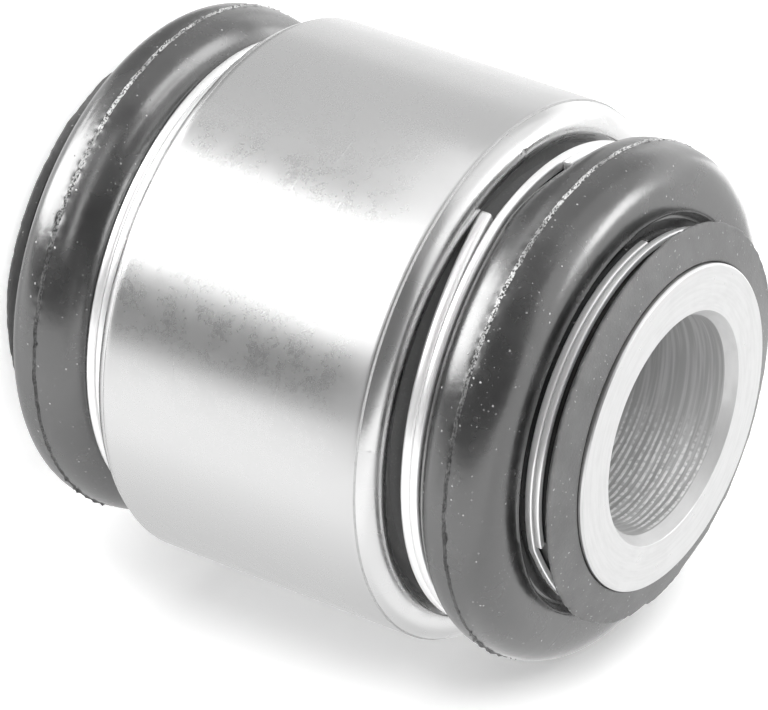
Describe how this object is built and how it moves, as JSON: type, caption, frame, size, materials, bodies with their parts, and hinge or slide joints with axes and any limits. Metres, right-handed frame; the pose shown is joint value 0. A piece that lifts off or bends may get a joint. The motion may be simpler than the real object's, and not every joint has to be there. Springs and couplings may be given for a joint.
{
  "type": "shock absorber bushing",
  "caption": "Round pressed-in suspension bushing: a bored sleeve with a ball turns and tilts in a steel housing, sealed at each end by a clamped rubber boot.",
  "frame": {"origin": "centre of the ball, which is the centre of the whole bushing", "axes": "+Z along the bore, towards the front end that the picture shows; the bushing stands on the end face of its sleeve"},
  "size_m": [0.035, 0.035, 0.042],
  "materials": {
    "ground_steel": "ground and lightly tumbled",
    "turned_steel": "fine turned",
    "spring_wire": "bright drawn",
    "boot_rubber": "moulded, low gloss",
    "race_plastic": "moulded"
  },
  "bodies": {
    "housing": {"housing": "ground_steel", "bearing_race": "race_plastic", "closing_ring": "turned_steel", "boot_front": "boot_rubber", "boot_rear": "boot_rubber", "clamp_ring_front": "spring_wire", "clamp_ring_rear": "spring_wire"},
    "boot_necks": {"neck_ring_front": "spring_wire", "neck_ring_rear": "spring_wire"},
    "sleeve": {"ball_sleeve": "turned_steel"}
  },
  "joints": [
    {"name": "sleeve_tilt", "type": "hinge", "parent": "housing", "child": "boot_necks", "pos_m": [0, 0, 0], "axis": [1, 0, 0], "range_deg": [-7, 7], "deforming": ["boot_front", "boot_rear"]},
    {"name": "sleeve_turn", "type": "hinge", "parent": "boot_necks", "child": "sleeve", "pos_m": [0, 0, 0], "axis": [0, 0, 1], "continuous": true}
  ]
}
